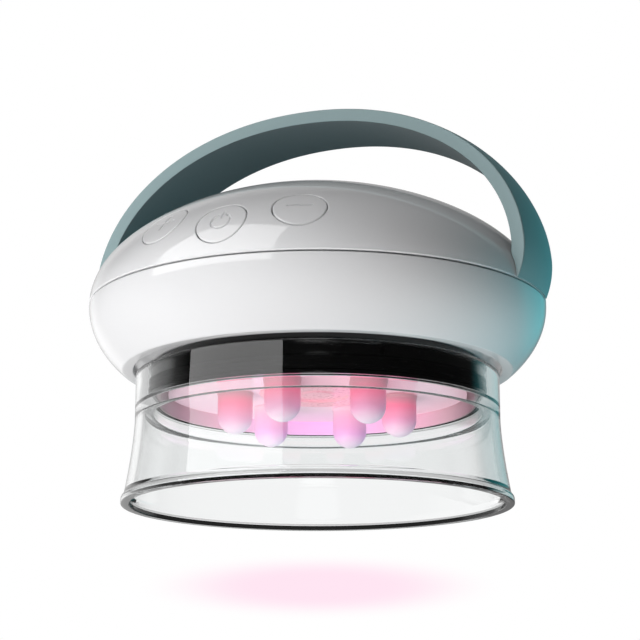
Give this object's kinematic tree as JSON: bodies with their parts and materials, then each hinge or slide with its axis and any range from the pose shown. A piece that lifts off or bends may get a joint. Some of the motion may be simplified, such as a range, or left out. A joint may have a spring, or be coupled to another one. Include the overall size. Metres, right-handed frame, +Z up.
{
  "type": "anti-cellulite massager",
  "caption": "Round hand-held suction massager with an arched handle, front keys, a clear twist-on cup and a lit turning plate of massage fingers.",
  "frame": {"origin": "centre of the cup's rim plane, on the massager's axis", "axes": "+Z up along the massager's axis, -Y towards the keys, X across along the handle's span"},
  "size_m": [0.145, 0.14, 0.1223],
  "materials": {
    "white_shell": "smooth gloss",
    "white_keys": "smooth gloss, engraved",
    "teal_handle": "satin",
    "clear_cup": "clear moulded plastic",
    "black_neck": "high gloss",
    "seal_rubber": "smooth rubber",
    "light_diffuser": "milky translucent",
    "pink_plate": "translucent satin",
    "finger_silicone": "translucent soft silicone",
    "screw_steel": "plain",
    "shaft_steel": "ground",
    "bronze": "plain",
    "gear_nylon": "moulded",
    "motor_case": "zinc plated",
    "board_green": "solder mask",
    "board_white": "solder mask",
    "dark_plastic": "moulded",
    "hose_silicone": "translucent",
    "cell_wrap": "shrink wrap",
    "inlet_steel": "drawn shell"
  },
  "bodies": {
    "housing": {"upper_shell": "white_shell", "lower_shell": "white_shell", "handle": "teal_handle", "neck_ring": "black_neck", "cup_seal": "seal_rubber", "light_ring": "light_diffuser", "handle_screw_1": "screw_steel", "handle_screw_2": "screw_steel", "handle_screw_3": "screw_steel", "handle_screw_4": "screw_steel", "shell_screw_1": "screw_steel", "shell_screw_2": "screw_steel", "shell_screw_3": "screw_steel", "neck_screw_1": "screw_steel", "neck_screw_2": "screw_steel", "neck_screw_3": "screw_steel", "neck_screw_4": "screw_steel", "motor_screw_1": "screw_steel", "motor_screw_2": "screw_steel", "head_bush": "bronze", "drive_motor": "motor_case", "pump_motor": "motor_case", "release_valve": "motor_case", "main_board": "board_green", "inlet_board": "board_green", "light_board": "board_white", "chassis_plate": "dark_plastic", "battery_tray": "dark_plastic", "pump_head": "dark_plastic", "suction_port": "dark_plastic", "key_bracket": "dark_plastic", "switch_plus": "dark_plastic", "switch_power": "dark_plastic", "switch_minus": "dark_plastic", "air_hose": "hose_silicone", "battery_cell_1": "cell_wrap", "battery_cell_2": "cell_wrap", "charge_inlet": "inlet_steel"},
    "massage_head": {"massage_plate": "pink_plate", "hub_cap": "pink_plate", "massage_finger_1": "finger_silicone", "massage_finger_2": "finger_silicone", "massage_finger_3": "finger_silicone", "massage_finger_4": "finger_silicone", "massage_finger_5": "finger_silicone", "massage_finger_6": "finger_silicone", "head_shaft": "shaft_steel", "shaft_clip": "shaft_steel", "drive_gear": "gear_nylon"},
    "motor_rotor": {"motor_pinion": "bronze", "motor_shaft": "shaft_steel"},
    "suction_cup": {"suction_cup": "clear_cup"},
    "key_plus": {"key_plus": "white_keys"},
    "key_power": {"key_power": "white_keys"},
    "key_minus": {"key_minus": "white_keys"}
  },
  "joints": [
    {"name": "head_spin", "type": "hinge", "parent": "housing", "child": "massage_head", "pos_m": [0, 0, 0.04], "axis": [0, 0, 1], "continuous": true},
    {"name": "motor_spin", "type": "hinge", "parent": "housing", "child": "motor_rotor", "pos_m": [0, 0.02425, 0.054], "axis": [0, 0, 1], "continuous": true},
    {"name": "cup_twist", "type": "hinge", "parent": "housing", "child": "suction_cup", "pos_m": [0, 0, 0.037], "axis": [0, 0, -1], "range_deg": [0, 12.5]},
    {"name": "plus_press", "type": "slide", "parent": "housing", "child": "key_plus", "axis": [0.2505, 0.7073, -0.661], "range_m": [0, 0.0005], "stiffness_N_per_m": 800},
    {"name": "power_press", "type": "slide", "parent": "housing", "child": "key_power", "axis": [0, 0.8329, -0.5534], "range_m": [0, 0.0005], "stiffness_N_per_m": 800},
    {"name": "minus_press", "type": "slide", "parent": "housing", "child": "key_minus", "axis": [-0.2505, 0.7073, -0.661], "range_m": [0, 0.0005], "stiffness_N_per_m": 800}
  ],
  "couplings": [
    {"joint": "motor_spin", "follows": "head_spin", "ratio": -4}
  ]
}
